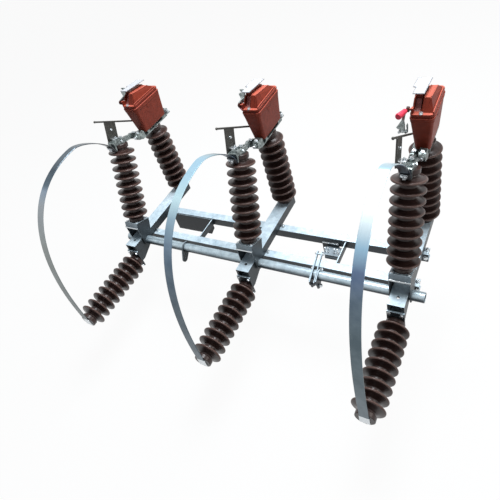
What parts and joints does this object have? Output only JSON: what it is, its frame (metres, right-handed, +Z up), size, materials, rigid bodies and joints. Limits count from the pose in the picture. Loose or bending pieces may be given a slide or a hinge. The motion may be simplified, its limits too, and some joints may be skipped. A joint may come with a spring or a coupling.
{
  "type": "oil-filled load break switch",
  "caption": "Three-phase load break switch: rocking and fixed ribbed post insulators on a channel frame, oil-filled arc chambers and flexible bands.",
  "frame": {"origin": "on the flat underside of the front main channel, under the middle phase", "axes": "+X along the channels to the right, +Y to the back where the fixed posts stand, +Z up"},
  "size_m": [1.696, 1.1508, 0.93],
  "materials": {
    "galvanised": "hot-dip galvanised, pale and slightly mottled",
    "porcelain": "dark brown glaze, glossy",
    "moulding": "red-brown moulded compound, half gloss",
    "knob": "bright red moulded knob on a red-brown lever",
    "band": "bright flexible metal strip",
    "contact": "tinned and dull, a little warm"
  },
  "bodies": {
    "frame": {"channel_front": "galvanised", "channel_rear": "galvanised", "cross_bar_left": "galvanised", "cross_bar_right": "galvanised", "gusset_plate": "galvanised", "arm_left": "galvanised", "arm_mid": "galvanised", "arm_right": "galvanised", "fixed_insulator_left": "porcelain", "fixed_insulator_mid": "porcelain", "fixed_insulator_right": "porcelain", "line_insulator_left": "porcelain", "line_insulator_mid": "porcelain", "line_insulator_right": "porcelain", "band_left": "band", "band_mid": "band", "band_right": "band", "fixed_contact_left": "contact", "fixed_contact_mid": "contact", "fixed_contact_right": "contact", "tank_left": "moulding", "tank_mid": "moulding", "tank_right": "moulding", "lid_left": "moulding", "lid_mid": "moulding", "lid_right": "moulding", "drive_bracket": "galvanised"},
    "shaft": {"operating_shaft": "galvanised", "crank_plate": "galvanised", "rocker_left": "galvanised", "rocker_mid": "galvanised", "rocker_right": "galvanised", "rocking_insulator_left": "porcelain", "rocking_insulator_mid": "porcelain", "rocking_insulator_right": "porcelain", "moving_contact_left": "contact", "moving_contact_mid": "contact", "moving_contact_right": "contact", "arcing_arm_left": "contact", "arcing_arm_mid": "contact", "arcing_arm_right": "contact", "drive_lever": "galvanised"},
    "lever_left": {"lever_left": "knob"},
    "lever_mid": {"lever_mid": "knob"},
    "lever_right": {"lever_right": "knob"}
  },
  "joints": [
    {"name": "shaft_turn", "type": "hinge", "parent": "frame", "child": "shaft", "pos_m": [0, -0.082, 0.062], "axis": [1, 0, 0], "range_deg": [0, 42], "deforming": ["band_left", "band_mid", "band_right"]},
    {"name": "lever_left_turn", "type": "hinge", "parent": "frame", "child": "lever_left", "pos_m": [-0.794, 0.258, 0.756], "axis": [-1, 0, 0], "range_deg": [-210, 8]},
    {"name": "lever_mid_turn", "type": "hinge", "parent": "frame", "child": "lever_mid", "pos_m": [-0.044, 0.258, 0.756], "axis": [-1, 0, 0], "range_deg": [-216, 2]},
    {"name": "lever_right_turn", "type": "hinge", "parent": "frame", "child": "lever_right", "pos_m": [0.706, 0.258, 0.756], "axis": [-1, 0, 0], "range_deg": [0, 218]}
  ]
}
